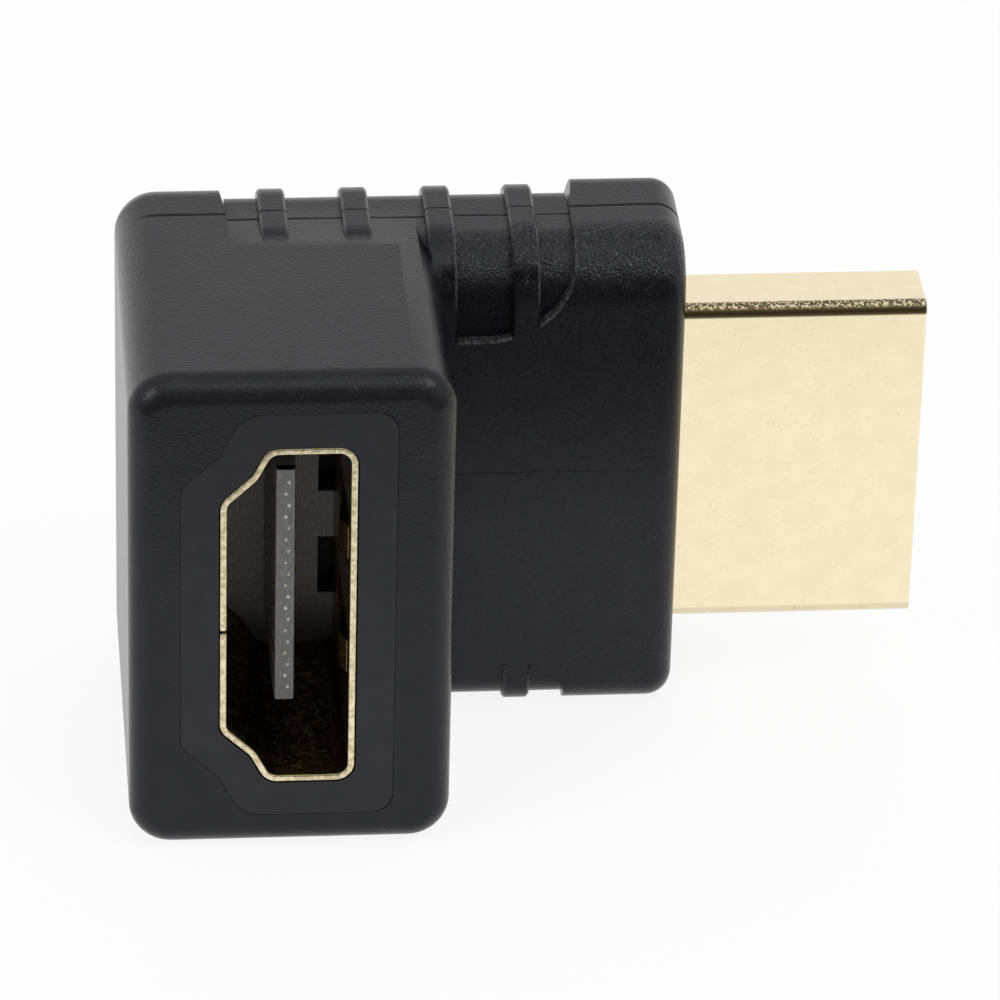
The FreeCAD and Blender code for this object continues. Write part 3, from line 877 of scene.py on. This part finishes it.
# %% [markdown]
# ## The pieces
#
# Six pieces get soft edges. The overmould is moulded, so it is the roundest, but it stays
# crisp at the mouth, where it was cast against the hard block. The plug's sheet is turned in
# at its tip and rounder there than along its folds. One width for all would be simpler, but
# then the plug would look cast and the seam would gape.

# %% Pieces with soft edges
def overmould_share(edge):
    """Crisp at the mouth, plain elsewhere."""
    at_mouth = max(vert.co.y for vert in edge.verts) < mouth_y + on_face
    return 0.25 if at_mouth else 1.0


def plug_share(edge):
    """The sheet is turned in at the tip, so its outer edge is rounder there."""
    at_tip = all(vert.co.x > plug_high.x / mm - on_face for vert in edge.verts)
    return 1.0 if at_tip else 0.35


soft_edged("overmould", "overmould_skin", soft_black, 0.1 * mm, 3, overmould_share,
           ease_field_rim)
soft_edged("inner_mould", "inner_mould_skin", mould_black, 0.02 * mm, reshape=close_seam)
soft_edged("socket_shell", "socket_sheet", rim_gold, 0.1 * mm, 4)
soft_edged("plug_shell", "plug_sheet", plug_gold, 0.14 * mm, 3, plug_share)
soft_edged("socket_housing", "socket_insulator", tongue_grey, 0.03 * mm,
           reshape=mould_tongue_edge)
soft_edged("plug_housing", "plug_insulator", insulator_black, 0.04 * mm)

# %% [markdown]
# ## Noses of the contacts
#
# In the tongue's front edge, nineteen small bright noses stand in a zigzag half a millimetre
# apart. They could be nineteen copied spheres, but a rule this plain suits Geometry Nodes: a
# line of points, every second one pushed aside, and a nose on each. The tree ends with real
# geometry, which is then kept as a plain mesh.

# %% Trees of geometry
class Tree:
    """A Geometry Nodes tree that is built with one method."""

    def __init__(self, name):
        self.tree = bpy.data.node_groups.new(name, "GeometryNodeTree")
        self.tree.interface.new_socket("Geometry", in_out="OUTPUT", socket_type="NodeSocketGeometry")
        self.identifiers = {}

    def value(self, name, kind):
        """Adds a named input of the tree."""
        socket = self.tree.interface.new_socket(name, in_out="INPUT", socket_type="NodeSocket" + kind)
        self.identifiers[name] = socket.identifier

    def add(self, kind, settings=None, inputs=None):
        """Adds a node: its settings first, then the values or links of its sockets."""
        node = self.tree.nodes.new(kind)
        for name, value in (settings or {}).items():
            setattr(node, name, value)
        for name, value in (inputs or {}).items():
            if isinstance(value, bpy.types.NodeSocket):
                self.tree.links.new(value, node.inputs[name])
            else:
                node.inputs[name].default_value = value
        return node


# %% Tree of the contact noses
def nose_tree():
    tree = Tree("contact_noses")
    tree.value("Count", "Int")
    tree.value("First", "Vector")
    tree.value("Step", "Vector")
    tree.value("Aside", "Vector")
    tree.value("Radius", "Float")
    tree.value("Material", "Material")
    given = tree.add("NodeGroupInput").outputs
    sockets = {"Count": given["Count"], "Start Location": given["First"], "Offset": given["Step"]}
    row = tree.add("GeometryNodeMeshLine", {"mode": "OFFSET"}, sockets).outputs[0]
    number = tree.add("GeometryNodeInputIndex").outputs[0]
    even = tree.add("ShaderNodeMath", {"operation": "MODULO"}, {0: number, 1: 2.0}).outputs[0]
    aside = tree.add("ShaderNodeVectorMath", {"operation": "SCALE"},
                     {0: given["Aside"], "Scale": even}).outputs[0]
    zigzag = tree.add("GeometryNodeSetPosition", {}, {"Geometry": row, "Offset": aside}).outputs[0]
    ball = tree.add("GeometryNodeMeshIcoSphere", {}, {"Radius": given["Radius"], "Subdivisions": 2})
    noses = tree.add("GeometryNodeInstanceOnPoints", {},
                     {"Points": zigzag, "Instance": ball.outputs[0]}).outputs[0]
    real = tree.add("GeometryNodeRealizeInstances", {}, {0: noses}).outputs[0]
    sockets = {"Geometry": real, "Material": given["Material"]}
    dressed = tree.add("GeometryNodeSetMaterial", {}, sockets).outputs[0]
    tree.add("NodeGroupOutput", {}, {0: dressed})
    return tree


noses = nose_tree()
print("inputs of the tree:", ", ".join(noses.identifiers))

# %% Contact noses
nose_count = 19
nose_pitch = 0.5 * mm
nose_radius = 0.09 * mm
nose_sink = 0.03 * mm
odd_side = 0.13 * mm
even_side = 0.02 * mm

carrier = bpy.data.objects.new("nose_carrier", bpy.data.meshes.new("nose_carrier"))
scene.collection.objects.link(carrier)
modifier = carrier.modifiers.new("noses", "NODES")
modifier.node_group = noses.tree
middle = (socket_low + socket_high) / 2
top_nose_z = middle.z + (nose_count - 1) / 2 * nose_pitch
first_nose = Vector((middle.x + odd_side, socket_low.y + nose_sink, top_nose_z))
given = {
    "Count": nose_count,
    "First": first_nose,
    "Step": Vector((0, 0, -nose_pitch)),
    "Aside": Vector((even_side - odd_side, 0, 0)),
    "Radius": nose_radius,
    "Material": nose_gold,
}
for name, value in given.items():
    modifier[noses.identifiers[name]] = value
view = bpy.context.evaluated_depsgraph_get()
nose_mesh = bpy.data.meshes.new_from_object(carrier.evaluated_get(view))
bpy.data.objects.remove(carrier)
nose_mesh.shade_smooth()
finished_piece("contact_noses", [], nose_mesh, nose_gold)

# %% [markdown]
# ## Nodes that are kept
#
# The contacts and the board are right as they are packed, and hardly seen. They could be
# copied and rounded as well, but a finish in their material slots is enough.

# %% Finishes for the kept nodes
kept = [name for name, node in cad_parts.items() if not node.hide_render]
for name in kept:
    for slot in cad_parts[name].material_slots:
        slot.material = board_green if name == "circuit_board" else gold_contact
print("nodes kept:", len(kept))
